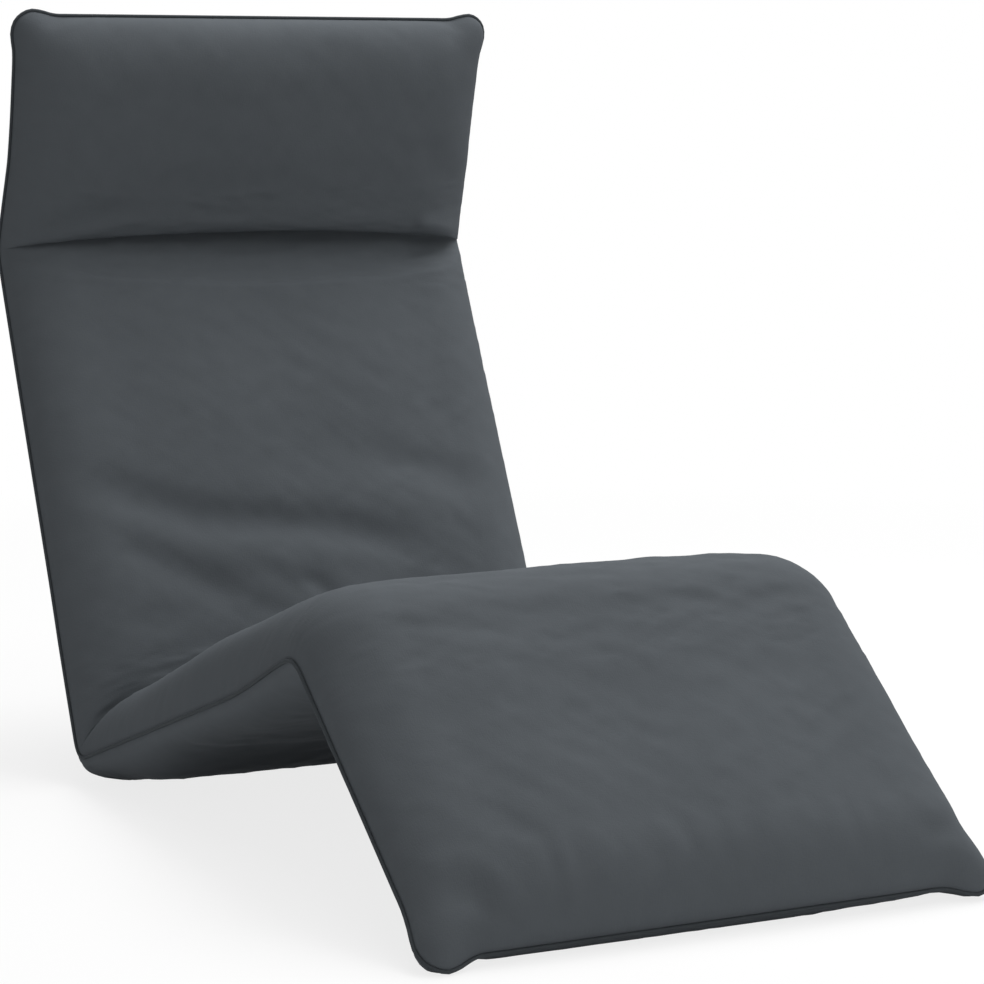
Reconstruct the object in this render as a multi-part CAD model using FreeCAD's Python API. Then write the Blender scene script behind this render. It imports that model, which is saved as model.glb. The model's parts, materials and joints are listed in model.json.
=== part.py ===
import FreeCAD, Part
import math
import os
from collections import namedtuple

from FreeCAD import Placement, Rotation, Vector

# Folding sun lounger: four padded sections on steel tube, joined by three lines of ratchet hinges.
# X runs across the width, the sitter faces -Y and Z is up. Millimetres and degrees.

# Padded sections, measured between hinge axes and out to the edge of the piping
WIDTH = 560.0
HEAD_LENGTH = 268.0
BACK_LENGTH = 576.0
SEAT_LENGTH = 568.0
LEG_LENGTH = 340.0
UPPER_CROWN = 58.0
LOWER_CROWN = 38.0
UPPER_EDGE_RADIUS = 42.0
LOWER_EDGE_RADIUS = 34.0
CORNER_RADIUS = 34.0
END_FULLNESS = 4.0

# Cover, seams and filling
COVER_THICKNESS = 1.5
PIPING_DIAMETER = 6.0
SEAM_TAPE_THICKNESS = 1.0
SEAM_TAPE_WIDTH = 8.0
FOAM_CLEARANCE = 0.3
FOLD_CLEARANCE = 0.5
BARREL_STAVES = 4
SECTION_GAP = 1.0
PIPING_END_GAP = 1.0

# Tube frame and webbing
TUBE_DIAMETER = 20.0
TUBE_WALL = 1.5
CROSSBAR_DIAMETER = 16.0
CROSSBAR_WALL = 1.2
CROSSBAR_INSET = 120.0
RAIL_INSET = 39.0
FRAME_BEND_RADIUS = 50.0
FRAME_END_INSET = 50.0
BELT_WIDTH = 40.0
BELT_THICKNESS = 1.5
BELT_SPACING = 95.0
BELT_END_GAP = 6.0
BELT_CLEARANCE = 0.1
BELT_TO_FOAM = 0.4

# Ratchet hinges
RATCHET_TEETH = 32
TOOTH_TIP_RADIUS = 20.0
TOOTH_DEPTH = 3.2
RATCHET_THICKNESS = 4.0
RATCHET_PLAY = 0.5
RATCHET_ARM_HEIGHT = 16.0
CHEEK_THICKNESS = 2.5
CHEEK_RADIUS = 27.0
FORK_SHOULDER = 1.0
FORK_NECK_LENGTH = 6.0
HINGE_REACH = 46.0
STUB_LENGTH = 30.0
STUB_CLEARANCE = 0.1
SLOT_CLEARANCE = 2.0

# Pawls, rivets and springs
PAWL_REACH = 26.0
PAWL_CONTACT_ANGLE = 240.0
PAWL_BOSS_RADIUS = 6.0
PAWL_CLEARANCE = 0.2
PAWL_TIP_CLEARANCE = 0.4
PAWL_LIFT = 10.0
PIVOT_RIVET_DIAMETER = 10.0
PAWL_RIVET_DIAMETER = 6.0
RIVET_CLEARANCE = 0.05
RIVET_HEAD_OVERHANG = 3.0
RIVET_HEAD_THICKNESS = 2.0
SPRING_THICKNESS = 0.6
SPRING_INSET = 5.5
SPRING_STAND_OFF = 3.0

# Bends from flat in whole ratchet steps: as the lounger stands, and folded as far as it goes
NECK_STEPS, NECK_FOLD_STEPS = 4, 9
HIP_STEPS, HIP_FOLD_STEPS = 7, 12
KNEE_STEPS, KNEE_FOLD_STEPS = 5, 11

# Derived sizes
STEP = 360.0 / RATCHET_TEETH
FLAT = 180.0
COVER_HALF_WIDTH = WIDTH / 2.0 - PIPING_DIAMETER
PIPING_RADIUS = PIPING_DIAMETER / 2.0
TUBE_RADIUS = TUBE_DIAMETER / 2.0
RAIL_X = COVER_HALF_WIDTH - RAIL_INSET
SLOT_HALF_WIDTH = TUBE_RADIUS + SLOT_CLEARANCE
BELT_RADIUS = TUBE_RADIUS + BELT_CLEARANCE
FOAM_START = BELT_RADIUS + BELT_THICKNESS + BELT_TO_FOAM
HIP_HEIGHT = LOWER_CROWN - COVER_THICKNESS / 2.0
CHEEK_START = RATCHET_THICKNESS / 2.0 + RATCHET_PLAY
FORK_HALF_WIDTH = CHEEK_START + CHEEK_THICKNESS
FORK_HALF_HEIGHT = TUBE_RADIUS + FORK_SHOULDER
STUB_RADIUS = TUBE_RADIUS - TUBE_WALL - STUB_CLEARANCE
TOOTH_ROOT_RADIUS = TOOTH_TIP_RADIUS - TOOTH_DEPTH

ALONG_X = Vector(1, 0, 0)
SIDES = {"left": 1.0, "right": -1.0}

# A section lies along its own Y from its foot end to its head end, with its upper face towards Z.
# seam_end is the end that is sewn shut: -1 at Y = 0, 1 at Y = length, 0 where both ends meet hinges.
Section = namedtuple("Section", "length seam_end hinges")

# A hinge bends towards its inside, which is the upper side (1) or the lower side (-1).
Hinge = namedtuple("Hinge", "bend fold_limit inside")

# A section's end at a hinge: the axis along the section, and which way the neighbour lies.
End = namedtuple("End", "axis_y towards hinge")

NECK = Hinge(NECK_STEPS * STEP, NECK_FOLD_STEPS * STEP, 1)
HIP = Hinge(HIP_STEPS * STEP, HIP_FOLD_STEPS * STEP, 1)
KNEE = Hinge(KNEE_STEPS * STEP, KNEE_FOLD_STEPS * STEP, -1)

SECTIONS = {
    "leg": Section(LEG_LENGTH, -1, [End(LEG_LENGTH, 1, KNEE)]),
    "seat": Section(SEAT_LENGTH, 0, [End(0.0, -1, KNEE), End(SEAT_LENGTH, 1, HIP)]),
    "back": Section(BACK_LENGTH, 0, [End(0.0, -1, HIP), End(BACK_LENGTH, 1, NECK)]),
    "head": Section(HEAD_LENGTH, 1, [End(0.0, -1, NECK)]),
}


def sin(degrees):
    return math.sin(math.radians(degrees))


def cos(degrees):
    return math.cos(math.radians(degrees))


def polar(radius, degrees):
    """A point in a hinge's own YZ plane."""
    return radius * cos(degrees), radius * sin(degrees)


def prism(points, sweep):
    """A closed polygon pushed along a straight line."""
    return Part.Face(Part.makePolygon(points + points[:1])).extrude(sweep)


def x_cylinder(radius, start_x, end_x, y=0.0, z=0.0):
    return Part.makeCylinder(radius, end_x - start_x, Vector(start_x, y, z), ALONG_X)


def box(x, y, z):
    """A box from (low, high) pairs."""
    low = Vector(x[0], y[0], z[0])
    return Part.makeBox(x[1] - x[0], y[1] - y[0], z[1] - z[0], low)


def symmetric(half):
    return -half, half


def crown_of(side):
    return UPPER_CROWN if side > 0 else LOWER_CROWN


def edge_radius_of(side):
    return UPPER_EDGE_RADIUS if side > 0 else LOWER_EDGE_RADIUS


# Padded shapes

def arch(half_span, rise, edge_radius):
    """A three-centred arch from foot to crown, as (distance from the middle, height)."""
    run = half_span - edge_radius
    crown_radius = (run ** 2 + rise ** 2 - edge_radius ** 2) / (2.0 * (rise - edge_radius))
    lean = math.degrees(math.atan2(crown_radius - rise, run))
    shoulder_angle = (lean + 90.0) / 2.0
    foot = (half_span, 0.0)
    edge = (run + edge_radius * cos(lean / 2.0), edge_radius * sin(lean / 2.0))
    join = (run + edge_radius * cos(lean), edge_radius * sin(lean))
    shoulder_height = rise - crown_radius + crown_radius * sin(shoulder_angle)
    shoulder = (crown_radius * cos(shoulder_angle), shoulder_height)
    crown = (0.0, rise)
    return foot, edge, join, shoulder, crown


def face_of(curves):
    return Part.Face(Part.Wire([curve.toShape() for curve in curves]))


def full_arch(half_span, rise, edge_radius, side):
    """The section across the width, standing on the seam plane."""
    foot, edge, join, shoulder, crown = arch(half_span, rise, edge_radius)

    def at(point, hand=1.0):
        return Vector(hand * point[0], 0.0, side * point[1])

    return face_of([
        Part.Arc(at(foot), at(edge), at(join)),
        Part.Arc(at(join), at(crown), at(join, -1.0)),
        Part.Arc(at(join, -1.0), at(edge, -1.0), at(foot, -1.0)),
        Part.LineSegment(at(foot, -1.0), at(foot)),
    ])


def staves(join, rise):
    """Points along an arch's crown, close enough for straight staves between them."""
    drop = rise - join[1]
    crown_radius = (join[0] ** 2 + drop ** 2) / (2.0 * drop)
    lean = math.degrees(math.asin(join[0] / crown_radius))
    angles = [lean * (1.0 - step / BARREL_STAVES) for step in range(2 * BARREL_STAVES + 1)]
    return [(crown_radius * sin(a), rise - crown_radius * (1.0 - cos(a))) for a in angles]


def from_hinge(section, distance):
    """Y of a point that lies a distance from the hinge of a section with one sewn end."""
    return distance if section.seam_end > 0 else section.length - distance


def half_arch(section, span, rise, edge_radius, side):
    """The section along the length, from the hinge axis to the sewn end."""
    foot, edge, join, shoulder, crown = arch(span, rise, edge_radius)

    def at(point):
        return Vector(-WIDTH, from_hinge(section, point[0]), side * point[1])

    return face_of([
        Part.Arc(at(foot), at(edge), at(join)),
        Part.Arc(at(join), at(shoulder), at(crown)),
        Part.LineSegment(at(crown), at((0.0, 0.0))),
        Part.LineSegment(at((0.0, 0.0)), at(foot)),
    ])


def u_path(section, half_width, reach, corner, start=0.0):
    """A U in the seam plane: out from the hinge along one side, across the sewn end and back."""
    def at(x, distance):
        return Vector(x, from_hinge(section, distance), 0.0)

    bend = corner * (1.0 - cos(45.0))
    straight = reach - corner
    curves = [
        Part.LineSegment(at(half_width, start), at(half_width, straight)),
        Part.Arc(at(half_width, straight), at(half_width - bend, reach - bend), at(half_width - corner, reach)),
        Part.LineSegment(at(half_width - corner, reach), at(corner - half_width, reach)),
        Part.Arc(at(corner - half_width, reach), at(bend - half_width, reach - bend), at(-half_width, straight)),
        Part.LineSegment(at(-half_width, straight), at(-half_width, start)),
    ]
    return curves


def plan_prism(section, inset, low, high):
    """The section's outline in the seam plane, between two heights."""
    half_width = COVER_HALF_WIDTH - inset
    if section.seam_end == 0:
        return box(symmetric(half_width), (0.0, section.length), (low, high))
    reach = section.length - PIPING_DIAMETER - inset
    outline = u_path(section, half_width, reach, CORNER_RADIUS - inset)
    outline.append(Part.LineSegment(outline[-1].EndPoint, outline[0].StartPoint))
    face = face_of(outline)
    face.translate(Vector(0, 0, low))
    return face.extrude(Vector(0, 0, high - low))


def pillow(section, side, inset=0.0):
    """The upper or lower half of a section's padding, drawn in by an inset."""
    crown = crown_of(side) - inset
    edge_radius = edge_radius_of(side) - inset
    across = full_arch(COVER_HALF_WIDTH - inset, crown, edge_radius, side)
    solid = across.extrude(Vector(0, section.length, 0))
    if section.seam_end == 0:
        return solid
    span = section.length - PIPING_DIAMETER - inset
    along = half_arch(section, span, crown + END_FULLNESS, edge_radius + END_FULLNESS, side)
    along = along.extrude(Vector(2.0 * WIDTH, 0, 0))
    plan = plan_prism(section, inset, *sorted((0.0, 2.0 * side * crown)))
    return solid.common(plan).common(along)


def roll_side(hinge, side):
    """Whose arch the padding round a hinge axis follows: the upper one only outside an upward knee."""
    return 1 if side > 0 and hinge.inside < 0 else -1


def barrel(side, inset=0.0):
    """A section's arch turned about the hinge axis, so that it is flush with the outside of a fold."""
    rise = crown_of(side) - inset
    foot, edge, join, shoulder, crown = arch(COVER_HALF_WIDTH - inset, rise, edge_radius_of(side) - inset)

    def at(point, hand=1.0):
        return Vector(hand * point[0], 0.0, point[1])

    points = [at(point) for point in staves(join, rise)]
    curves = [Part.Arc(at(foot), at(edge), points[0])]
    curves += [Part.LineSegment(start, end) for start, end in zip(points, points[1:])]
    curves.append(Part.Arc(points[-1], at(edge, -1.0), at(foot, -1.0)))
    curves.append(Part.LineSegment(at(foot, -1.0), at(foot)))
    return face_of(curves).revolve(Vector(), ALONG_X, 360.0)


def end_cuts(section, side, extra=0.0):
    """What half a section loses at its hinges, so that it clears its neighbour from folded to flat."""
    cuts = []
    height = 2.0 * (UPPER_CROWN + LOWER_CROWN)
    gap = SECTION_GAP + extra
    for end in section.hinges:
        half_fold = (FLAT - end.hinge.fold_limit) / 2.0
        slope = height * cos(half_fold) / sin(half_fold)
        corners = [(-gap, -height), (-gap, 0.0), (-gap - slope, height), (height, height), (height, -height)]
        points = [
            Vector(-WIDTH, end.axis_y + end.towards * y, end.hinge.inside * z)
            for y, z in corners
        ]
        cuts.append(prism(points, Vector(2.0 * WIDTH, 0, 0)))
        roll = barrel(roll_side(end.hinge, side), -FOLD_CLEARANCE - extra)
        roll.translate(Vector(0, end.axis_y, 0))
        cuts.append(roll)
    return cuts


def cut_in_turn(solid, tools):
    for tool in tools:
        solid = solid.cut(tool)
    return solid


def beyond(section, side, height):
    """The space on one side of a plane parallel to the seam."""
    far = UPPER_CROWN + LOWER_CROWN
    heights = sorted((side * height, side * far))
    return box(symmetric(WIDTH), (-WIDTH, section.length + WIDTH), heights)


def cover_panel(section, side):
    shell = pillow(section, side).cut(pillow(section, side, COVER_THICKNESS))
    panel = shell.common(beyond(section, side, SEAM_TAPE_THICKNESS / 2.0))
    return cut_in_turn(panel, end_cuts(section, side))


def foam(section, side):
    filling = pillow(section, side, COVER_THICKNESS + FOAM_CLEARANCE)
    block = filling.common(beyond(section, side, FOAM_START))
    return cut_in_turn(block, end_cuts(section, side, FOAM_CLEARANCE))


def sweep(curves, radius):
    """A round rod along a path."""
    path = Part.Wire([curve.toShape() for curve in curves])
    first = curves[0]
    direction = first.EndPoint - first.StartPoint
    ring = Part.Wire(Part.Circle(first.StartPoint, direction, radius).toShape())
    return path.makePipeShell([ring], True, False)


def piping_stop(hinge):
    """How far from a hinge axis a cord ends, so that two cords clear each other when folded."""
    half_fold = (FLAT - hinge.fold_limit) / 2.0
    return PIPING_RADIUS * cos(half_fold) / sin(half_fold) + PIPING_END_GAP


def piping(section):
    """The corded edge and the tape that is sewn between the two panels."""
    tape_inset = COVER_THICKNESS + SEAM_TAPE_WIDTH
    low, high = symmetric(SEAM_TAPE_THICKNESS / 2.0)
    tape = plan_prism(section, -PIPING_RADIUS, low, high)
    tape = tape.cut(plan_prism(section, tape_inset, low, high))
    tape = cut_in_turn(tape, end_cuts(section, 1) + end_cuts(section, -1))
    cord_x = COVER_HALF_WIDTH + PIPING_RADIUS
    if section.seam_end:
        reach = section.length - PIPING_RADIUS
        start = piping_stop(section.hinges[0].hinge)
        cord = sweep(u_path(section, cord_x, reach, CORNER_RADIUS + PIPING_RADIUS, start), PIPING_RADIUS)
        return cord.fuse(tape).removeSplitter()
    low_y = piping_stop(section.hinges[0].hinge)
    length = section.length - low_y - piping_stop(section.hinges[1].hinge)
    cords = [
        Part.makeCylinder(PIPING_RADIUS, length, Vector(side * cord_x, low_y, 0), Vector(0, 1, 0))
        for side in SIDES.values()
    ]
    edges = [
        cord.fuse(strip).removeSplitter()
        for cord in cords
        for strip in tape.Solids
        if cord.BoundBox.intersect(strip.BoundBox)
    ]
    return Part.Compound(edges)


# Frame and webbing

def frame(section):
    if section.seam_end:
        reach = section.length - PIPING_DIAMETER - FRAME_END_INSET
        path = u_path(section, RAIL_X, reach, FRAME_BEND_RADIUS, HINGE_REACH)
        return sweep(path, TUBE_RADIUS).cut(sweep(path, TUBE_RADIUS - TUBE_WALL))
    length = section.length - 2.0 * HINGE_REACH

    def rails(radius):
        return [
            Part.makeCylinder(radius, length, Vector(side * RAIL_X, HINGE_REACH, 0), Vector(0, 1, 0))
            for side in SIDES.values()
        ]

    outer = CROSSBAR_DIAMETER / 2.0
    bars = [
        x_cylinder(outer, -RAIL_X, RAIL_X, y).cut(x_cylinder(outer - CROSSBAR_WALL, -RAIL_X, RAIL_X, y))
        for y in (CROSSBAR_INSET, section.length - CROSSBAR_INSET)
    ]
    welded = rails(TUBE_RADIUS)[0].fuse(rails(TUBE_RADIUS)[1:] + bars)
    return welded.cut(rails(TUBE_RADIUS - TUBE_WALL)).removeSplitter()


def belt_rows(section):
    """Middle of each belt, evenly spread along the straight rails."""
    clear = BELT_END_GAP + BELT_WIDTH / 2.0
    ends = {end.towards: max(HINGE_REACH, crown_of(-end.hinge.inside)) for end in section.hinges}
    sewn = PIPING_DIAMETER + FRAME_END_INSET + FRAME_BEND_RADIUS
    first = ends.get(-1, sewn) + clear
    last = section.length - ends.get(1, sewn) - clear
    gaps = max(1, round((last - first) / BELT_SPACING))
    return [first + (last - first) * row / gaps for row in range(gaps + 1)]


def stadium(radius, y):
    """A slab round both rails, one belt wide."""
    low = y - BELT_WIDTH / 2.0
    ends = [
        Part.makeCylinder(radius, BELT_WIDTH, Vector(side * RAIL_X, low, 0), Vector(0, 1, 0))
        for side in SIDES.values()
    ]
    middle = box(symmetric(RAIL_X), (low, low + BELT_WIDTH), symmetric(radius))
    return middle.fuse(ends).removeSplitter()


def webbing(section):
    return Part.Compound([
        stadium(BELT_RADIUS + BELT_THICKNESS, y).cut(stadium(BELT_RADIUS, y))
        for y in belt_rows(section)
    ])


# Ratchet hinges, each in its own frame: axis along X, carrying section along -Y, inside of the fold
# towards Z. The section that swings lies along Y when flat.

def stub(towards):
    """The plug that fills the end of a rail."""
    start = towards * HINGE_REACH
    return Part.makeCylinder(STUB_RADIUS, STUB_LENGTH, Vector(0, start, 0), Vector(0, towards, 0))


def contact_point(tangent, radial):
    """A point near the tooth that a pawl meets: along the tooth's push, and outwards from mid tooth."""
    middle = TOOTH_TIP_RADIUS - TOOTH_DEPTH / 2.0
    y, z = polar(middle + radial, PAWL_CONTACT_ANGLE)
    return y + tangent * sin(PAWL_CONTACT_ANGLE), z - tangent * cos(PAWL_CONTACT_ANGLE)


PAWL_PIVOT = contact_point(PAWL_REACH, 0.0)


def fork():
    """Two cheeks on a common neck, with the stub that is fixed in the carrying rail."""
    neck_start = -HINGE_REACH
    height = symmetric(FORK_HALF_HEIGHT)
    solid = box(symmetric(FORK_HALF_WIDTH), (neck_start, neck_start + FORK_NECK_LENGTH), height)
    pieces = [stub(-1.0)]
    for side in SIDES.values():
        thickness = sorted((side * CHEEK_START, side * FORK_HALF_WIDTH))
        pieces.append(box(thickness, (neck_start, 0.0), height))
        pieces.append(x_cylinder(CHEEK_RADIUS, *thickness))
    solid = solid.fuse(pieces)
    pivot_hole = x_cylinder(PIVOT_RIVET_DIAMETER / 2.0 + RIVET_CLEARANCE, -FORK_HALF_WIDTH, FORK_HALF_WIDTH)
    pawl_radius = PAWL_RIVET_DIAMETER / 2.0 + RIVET_CLEARANCE
    pawl_hole = x_cylinder(pawl_radius, -FORK_HALF_WIDTH, FORK_HALF_WIDTH, *PAWL_PIVOT)
    return solid.cut([pivot_hole, pawl_hole]).removeSplitter()


def ratchet(fold_steps):
    """The toothed plate on the swinging rail, with teeth wherever the pawl can meet it."""
    half = RATCHET_THICKNESS / 2.0
    outline = [Vector(-half, 0, 0)]
    for step in range(fold_steps + 1, -2, -1):
        angle = PAWL_CONTACT_ANGLE - step * STEP
        for radius in (TOOTH_ROOT_RADIUS, TOOTH_TIP_RADIUS):
            outline.append(Vector(-half, *polar(radius, angle)))
    outline.append(Vector(-half, *polar(TOOTH_ROOT_RADIUS, PAWL_CONTACT_ANGLE + 2.0 * STEP)))
    teeth = prism(outline, Vector(RATCHET_THICKNESS, 0, 0))
    hub = x_cylinder(TOOTH_ROOT_RADIUS, -half, half)
    arm = box(symmetric(half), (0.0, HINGE_REACH), symmetric(RATCHET_ARM_HEIGHT / 2.0))
    bore = x_cylinder(PIVOT_RIVET_DIAMETER / 2.0 + RIVET_CLEARANCE, -half, half)
    return hub.fuse([teeth, arm, stub(1.0)]).cut(bore).removeSplitter()


def pawl():
    """The catch that drops into a tooth gap and holds the fold against opening, drawn lifted clear."""
    half = RATCHET_THICKNESS / 2.0
    root = -TOOTH_DEPTH / 2.0
    tip = TOOTH_DEPTH / 2.0 + PAWL_CLEARANCE
    tooth_run = TOOTH_TIP_RADIUS * sin(STEP)
    corners = [
        (PAWL_CLEARANCE, root + PAWL_TIP_CLEARANCE),
        (tooth_run, tip),
        (PAWL_REACH, tip),
        (PAWL_REACH, PAWL_BOSS_RADIUS),
        (PAWL_CLEARANCE, PAWL_BOSS_RADIUS),
    ]
    arm = prism([Vector(-half, *contact_point(*corner)) for corner in corners], Vector(2.0 * half, 0, 0))
    boss = x_cylinder(PAWL_BOSS_RADIUS, -half, half, *PAWL_PIVOT)
    bore = x_cylinder(PAWL_RIVET_DIAMETER / 2.0 + RIVET_CLEARANCE, -half, half, *PAWL_PIVOT)
    solid = arm.fuse(boss).cut(bore).removeSplitter()
    solid.rotate(Vector(0, *PAWL_PIVOT), ALONG_X, -PAWL_LIFT)
    return solid


def rivet(diameter, y, z):
    head_radius = diameter / 2.0 + RIVET_HEAD_OVERHANG
    shank = x_cylinder(diameter / 2.0, -FORK_HALF_WIDTH, FORK_HALF_WIDTH, y, z)
    outer = FORK_HALF_WIDTH + RIVET_HEAD_THICKNESS
    heads = [
        x_cylinder(head_radius, FORK_HALF_WIDTH, outer, y, z),
        x_cylinder(head_radius, -outer, -FORK_HALF_WIDTH, y, z),
    ]
    return shank.fuse(heads)


def pawl_spring():
    """A leaf from the fork's neck to the back of the pawl."""
    half = RATCHET_THICKNESS / 2.0
    root = Vector(-half, FORK_NECK_LENGTH - HINGE_REACH, SPRING_INSET - FORK_HALF_HEIGHT)
    tip = Vector(-half, *contact_point(PAWL_REACH / 2.0, PAWL_BOSS_RADIUS + SPRING_STAND_OFF))
    lift = Vector(0, 0, SPRING_THICKNESS)
    return prism([root, tip, tip + lift, root + lift], Vector(RATCHET_THICKNESS, 0, 0))


def fold_roll(hinge, inset, start_x, end_x):
    """Padding round a hinge axis, drawn in by an inset, between two places across the width."""
    halves = []
    for side in (1, -1):
        heights = sorted((0.0, side * UPPER_CROWN))
        space = box((start_x, end_x), symmetric(UPPER_CROWN), heights)
        halves.append(barrel(roll_side(hinge, side), inset).common(space))
    return halves[0].fuse(halves[1]).removeSplitter()


def fold_spans():
    """Stretches of the hinge line between the slots that the hinges work in."""
    inner = RAIL_X - SLOT_HALF_WIDTH
    outer = RAIL_X + SLOT_HALF_WIDTH
    end = COVER_HALF_WIDTH - FOLD_CLEARANCE
    return [(-end, -outer), (-inner, inner), (outer, end)]


def fold_cover(hinge):
    return Part.Compound([
        fold_roll(hinge, 0.0, *span).cut(fold_roll(hinge, COVER_THICKNESS, *span))
        for span in fold_spans()
    ])


def fold_padding(hinge):
    inset = COVER_THICKNESS + FOAM_CLEARANCE
    return Part.Compound([fold_roll(hinge, inset, *span) for span in fold_spans()])


# How the sections stand: hip and foot both on the floor, every bend a whole number of ratchet steps

def seat_rise():
    """Slope of the seat that brings the foot end down to the floor."""
    along = SEAT_LENGTH + LEG_LENGTH * cos(KNEE.bend)
    drop = LEG_LENGTH * sin(KNEE.bend)
    rise = math.degrees(math.atan2(drop, along))
    end_radius = LOWER_EDGE_RADIUS + END_FULLNESS
    for _ in range(20):
        leg_slope = sin(KNEE.bend - rise)
        foot = end_radius * (1.0 - leg_slope) - PIPING_DIAMETER * leg_slope - COVER_THICKNESS / 2.0
        tilt = math.degrees(math.asin((foot - HIP_HEIGHT) / math.hypot(along, drop)))
        rise = math.degrees(math.atan2(drop, along)) + tilt
    return rise


def direction(pitch):
    return Vector(0, cos(pitch), sin(pitch))


SEAT_PITCH = -seat_rise()
PITCH = {
    "leg": SEAT_PITCH + KNEE.bend,
    "seat": SEAT_PITCH,
    "back": SEAT_PITCH + HIP.bend,
    "head": SEAT_PITCH + HIP.bend + NECK.bend,
}
HIP_POINT = Vector(0, 0, HIP_HEIGHT)
KNEE_POINT = HIP_POINT - direction(PITCH["seat"]) * SEAT_LENGTH
NECK_POINT = HIP_POINT + direction(PITCH["back"]) * BACK_LENGTH
ORIGIN = {
    "leg": KNEE_POINT - direction(PITCH["leg"]) * LEG_LENGTH,
    "seat": KNEE_POINT,
    "back": HIP_POINT,
    "head": NECK_POINT,
}

# Each hinge line: its hinge, its fold limit in steps, its axis, the section that carries it,
# and the pitch of its own frame
HingeLine = namedtuple("HingeLine", "hinge fold_steps point carrier pitch")
HINGE_LINES = {
    "knee": HingeLine(KNEE, KNEE_FOLD_STEPS, KNEE_POINT, "seat", PITCH["seat"] + FLAT),
    "hip": HingeLine(HIP, HIP_FOLD_STEPS, HIP_POINT, "seat", PITCH["seat"]),
    "neck": HingeLine(NECK, NECK_FOLD_STEPS, NECK_POINT, "back", PITCH["back"]),
}


def placed(shape, point, pitch, x=0.0):
    copy = shape.copy()
    frame_placement = Placement(point + Vector(x, 0, 0), Rotation(ALONG_X, pitch))
    copy.Placement = frame_placement.multiply(shape.Placement)
    return copy


def pair(shape, line):
    """The same piece in the left and the right hinge of a line."""
    return [placed(shape, line.point, line.pitch, side * RAIL_X) for side in SIDES.values()]


def section_nodes(name, section):
    shapes = {
        "frame": frame(section),
        "webbing": webbing(section),
        "upper_foam": foam(section, 1),
        "lower_foam": foam(section, -1),
        "upper_cover": cover_panel(section, 1),
        "lower_cover": cover_panel(section, -1),
        "piping": piping(section),
    }
    return {
        f"{name}_{piece}": placed(shape, ORIGIN[name], PITCH[name])
        for piece, shape in shapes.items()
    }


def hinge_nodes(name, line):
    nodes = {}
    for side, hand in SIDES.items():
        x = hand * RAIL_X
        swing = line.pitch + line.hinge.bend
        nodes[f"{name}_fork_{side}"] = placed(fork(), line.point, line.pitch, x)
        nodes[f"{name}_ratchet_{side}"] = placed(ratchet(line.fold_steps), line.point, swing, x)
        nodes[f"{name}_pawl_{side}"] = placed(pawl(), line.point, line.pitch, x)
    rivets = pair(rivet(PIVOT_RIVET_DIAMETER, 0.0, 0.0), line)
    rivets += pair(rivet(PAWL_RIVET_DIAMETER, *PAWL_PIVOT), line)
    nodes[f"{name}_rivets"] = Part.Compound(rivets)
    nodes[f"{name}_pawl_springs"] = Part.Compound(pair(pawl_spring(), line))
    carrier_pitch = PITCH[line.carrier]
    nodes[f"{name}_fold_padding"] = placed(fold_padding(line.hinge), line.point, carrier_pitch)
    nodes[f"{name}_fold_cover"] = placed(fold_cover(line.hinge), line.point, carrier_pitch)
    return nodes


def main():
    nodes = {}
    for name, section in SECTIONS.items():
        nodes.update(section_nodes(name, section))
    for name, line in HINGE_LINES.items():
        nodes.update(hinge_nodes(name, line))

    # The weight flattens the cover where it lies on the floor
    reach = HEAD_LENGTH + BACK_LENGTH + SEAT_LENGTH + LEG_LENGTH
    below_floor = box(symmetric(WIDTH), symmetric(reach), (-WIDTH, 0.0))
    for name in ("hip_fold_cover", "leg_lower_cover"):
        nodes[name] = nodes[name].cut(below_floor)

    # The origin lies on the floor under the middle of the whole lounger
    boxes = [shape.optimalBoundingBox(False, False) for shape in nodes.values()]
    middle_y = (min(b.YMin for b in boxes) + max(b.YMax for b in boxes)) / 2.0
    shift = Vector(0, -middle_y, 0)
    os.makedirs("parts", exist_ok=True)
    for name, shape in nodes.items():
        shape.translate(shift)
        shape.exportStep(f"parts/{name}.step")

    for name, line in HINGE_LINES.items():
        print(name, "axis", line.point + shift, "frame pitch", round(line.pitch, 4))
        y, z = PAWL_PIVOT
        pivot = Placement(line.point + shift, Rotation(ALONG_X, line.pitch)).multVec(Vector(0, y, z))
        print(name, "pawl axis", pivot)
    print("seat rise", round(-SEAT_PITCH, 4), "height", round(max(b.ZMax for b in boxes), 2))


main()
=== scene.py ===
"""Looks of the folding sun lounger: one padded cover over four sections, piped along its seam."""

import json
import math
from collections import namedtuple

import bpy
import numpy as np
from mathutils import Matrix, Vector


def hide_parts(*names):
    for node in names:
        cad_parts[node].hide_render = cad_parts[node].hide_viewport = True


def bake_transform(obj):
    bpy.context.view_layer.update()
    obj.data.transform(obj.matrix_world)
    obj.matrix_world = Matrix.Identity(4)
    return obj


# Cover, in metres. S runs along the flat cover from the foot seam to the top seam, X across it.
HALF_WIDTH = 0.2762
LEG_REACH = 0.334
HEAD_REACH = 0.262
UPPER_CROWN, LOWER_CROWN = 0.058, 0.038
UPPER_EDGE, LOWER_EDGE = 0.045, 0.034
EDGE_RUN = 0.068
CROWN_SQUARENESS = 2.0
KNEE_EXTRA_SQUARENESS = 2.0
CORNER_RADIUS = 0.032
PIPING_RADIUS = 0.0018
PIPING_STAND_OUT = 0.0010
PIPING_SIDES = 10

# Ears: the stuffed corners, which stand out a little beyond the edges between them. A higher shoulder makes
# them blunter.
Ear = namedtuple("Ear", "reach sideways endways rise")
EAR_SHOULDER = 1.5
FOOT_EAR = Ear(0.050, 0.007, 0.014, 0.007)
TOP_EAR = Ear(0.045, 0.006, 0.008, 0.003)

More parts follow.
